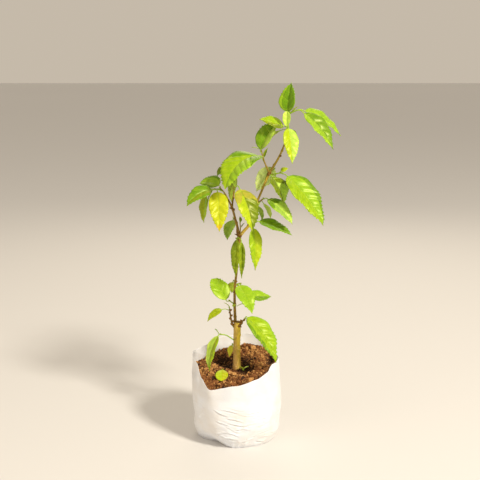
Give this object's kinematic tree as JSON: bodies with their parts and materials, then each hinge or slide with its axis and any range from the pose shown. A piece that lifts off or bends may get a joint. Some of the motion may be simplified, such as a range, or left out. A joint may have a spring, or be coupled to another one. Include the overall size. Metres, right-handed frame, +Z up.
{
  "type": "young hibiscus shrub in grow bag",
  "caption": "Young hibiscus shrub grown from a woody cutting, forked above a slim leader, with toothed pointed leaves, standing in a white film grow bag of brown growing mix.",
  "frame": {"origin": "near the middle of the bag's flat underside, under the cut stem, at the mount underside", "axes": "+Z up along the plant, +X to the right and -Y towards the viewer as pictured"},
  "size_m": [0.2477, 0.146, 0.5911],
  "materials": {
    "bark": "fine-grained young bark, satin",
    "leaf_deep": "waxy deep green leaf, satin gloss",
    "leaf_mid": "waxy mid green leaf, satin gloss",
    "leaf_lime": "young lime green leaf, satin gloss",
    "leaf_yellow": "yellow leaf, soft satin",
    "leaf_grey": "grey-green leaf underside, matte",
    "growing_mix": "moist brown coir crumbs, matte",
    "bag_film": "opaque white film, soft satin"
  },
  "bodies": {
    "root": {"cut_stem": "bark", "leader": "bark", "left_bough": "bark", "middle_bough": "bark", "right_bough": "bark", "upper_bough": "bark", "top_spray": "leaf_lime", "arching_spray": "leaf_mid", "left_spray": "leaf_deep", "middle_spray": "leaf_lime", "inner_spray": "leaf_mid", "inner_leaf": "leaf_deep", "drooping_leaf": "leaf_lime", "right_spray": "leaf_lime", "knot_leaf": "leaf_grey", "fork_shoot": "leaf_mid", "fork_pair": "leaf_deep", "low_left_leaf": "leaf_deep", "leader_left_leaf": "leaf_mid", "leader_bud_leaf": "leaf_yellow", "leader_right_leaves": "leaf_mid", "stump_left_shoot": "leaf_mid", "stump_right_shoot": "leaf_lime", "low_hanging_leaf": "leaf_mid", "basal_back_sprout": "leaf_yellow", "basal_front_sprout": "leaf_yellow", "low_round_leaf": "leaf_yellow", "growing_mix": "growing_mix", "grow_bag": "bag_film"}
  },
  "joints": []
}
